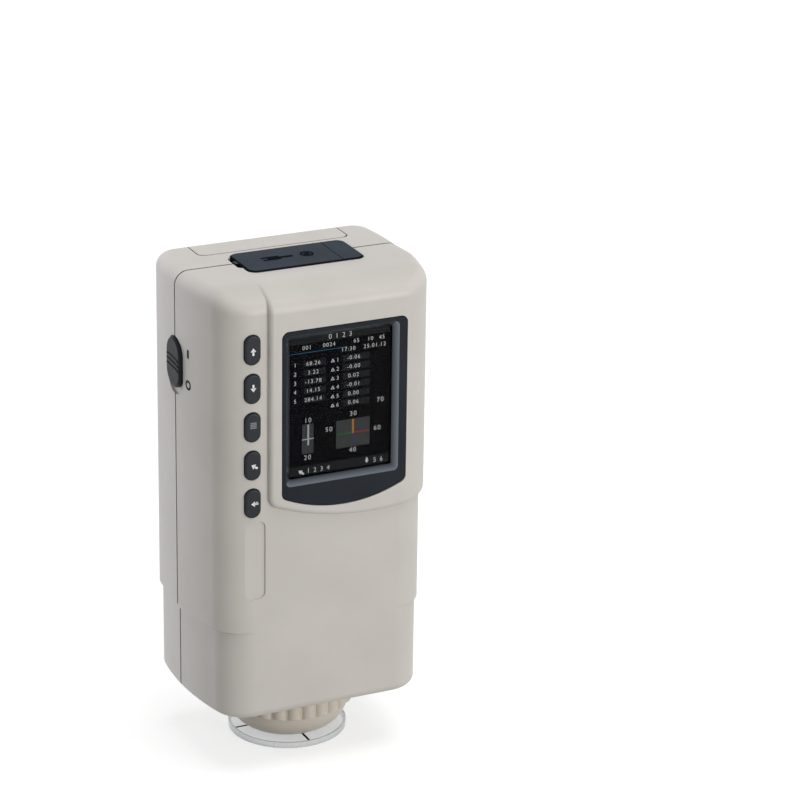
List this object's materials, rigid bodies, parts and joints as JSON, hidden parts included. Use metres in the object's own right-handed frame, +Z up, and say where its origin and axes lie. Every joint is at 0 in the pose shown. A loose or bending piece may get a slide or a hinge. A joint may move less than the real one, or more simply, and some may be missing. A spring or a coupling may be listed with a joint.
{
  "type": "portable colorimeter",
  "caption": "Hand-held colour measuring instrument: upright rounded housing with a raised display cowl, side keys, socket flap and a fluted measuring foot on a clear ring plate.",
  "frame": {"origin": "centre of the measuring aperture in the plane on which the ring plate stands", "axes": "+Z up along the optical axis, the display faces -Y, +X to the right seen from the front"},
  "size_m": [0.0985, 0.0708, 0.2026],
  "materials": {
    "shell": "fine satin texture",
    "slate_plastic": "satin",
    "slate_rubber": "matt",
    "key_rubber": "satin",
    "display": "gloss",
    "window": "clear",
    "clear_plastic": "clear acrylic",
    "ivory_plastic": "satin",
    "white_plastic": "matt white",
    "black_plastic": "satin",
    "board": "satin",
    "steel": "bright",
    "battery_wrap": "shrink wrap",
    "lamp": "gloss"
  },
  "bodies": {
    "housing": {"aperture_tube": "white_plastic", "battery_contacts": "steel", "battery_pack": "battery_wrap", "board_screws": "steel", "buzzer": "black_plastic", "dc_socket": "black_plastic", "display_bezel": "slate_plastic", "display_window": "window", "front_housing": "shell", "housing_screws": "steel", "key_board": "board", "key_switches": "black_plastic", "lamp_board": "board", "lamp_leds": "lamp", "lcd_frame": "steel", "lcd_panel": "display", "main_board": "board", "measure_switch": "black_plastic", "optics_mount": "ivory_plastic", "port_cover_anchor": "slate_rubber", "port_tray": "black_plastic", "power_switch": "black_plastic", "rear_housing": "shell", "sensor_board": "board", "sensor_chip": "black_plastic", "sensor_lens": "window", "sensor_tube": "black_plastic", "sphere_lower": "white_plastic", "sphere_upper": "white_plastic", "usb_socket": "steel"},
    "slider": {"power_slider": "slate_plastic"},
    "reading_button": {"measure_button": "slate_rubber"},
    "socket_flap": {"port_cover": "slate_rubber"},
    "battery_lid": {"battery_cover": "shell"},
    "locating_ring": {"locating_collar": "ivory_plastic", "locating_skirt": "ivory_plastic", "locating_plate": "clear_plastic"},
    "key_up_body": {"key_up": "key_rubber"},
    "key_down_body": {"key_down": "key_rubber"},
    "key_menu_body": {"key_menu": "key_rubber"},
    "key_back_body": {"key_back": "key_rubber"},
    "key_enter_body": {"key_enter": "key_rubber"}
  },
  "joints": [
    {"name": "key_up_press", "type": "slide", "parent": "housing", "child": "key_up_body", "axis": [0, 1, 0], "range_m": [0, 0.0008], "stiffness_N_per_m": 500, "springref_m": -0.001},
    {"name": "key_down_press", "type": "slide", "parent": "housing", "child": "key_down_body", "axis": [0, 1, 0], "range_m": [0, 0.0008], "stiffness_N_per_m": 500, "springref_m": -0.001},
    {"name": "key_menu_press", "type": "slide", "parent": "housing", "child": "key_menu_body", "axis": [0, 1, 0], "range_m": [0, 0.0008], "stiffness_N_per_m": 500, "springref_m": -0.001},
    {"name": "key_back_press", "type": "slide", "parent": "housing", "child": "key_back_body", "axis": [0, 1, 0], "range_m": [0, 0.0008], "stiffness_N_per_m": 500, "springref_m": -0.001},
    {"name": "key_enter_press", "type": "slide", "parent": "housing", "child": "key_enter_body", "axis": [0, 1, 0], "range_m": [0, 0.0008], "stiffness_N_per_m": 500, "springref_m": -0.001},
    {"name": "reading_press", "type": "slide", "parent": "housing", "child": "reading_button", "axis": [-1, 0, 0], "range_m": [0, 0.0008], "stiffness_N_per_m": 500, "springref_m": -0.001},
    {"name": "power_slide", "type": "slide", "parent": "housing", "child": "slider", "axis": [0, 0, -1], "range_m": [0, 0.0026]},
    {"name": "flap_hinge", "type": "hinge", "parent": "housing", "child": "socket_flap", "pos_m": [0.0175, -0.0022, 0.2026], "axis": [0, 1, 0], "range_deg": [0, 105]},
    {"name": "battery_lid_off", "type": "slide", "parent": "housing", "child": "battery_lid", "axis": [0, 1, 0], "range_m": [0, 0.03]},
    {"name": "ring_twist", "type": "hinge", "parent": "housing", "child": "locating_ring", "pos_m": [0, 0, 0.0135], "axis": [0, 0, 1], "range_deg": [0, 20]}
  ]
}
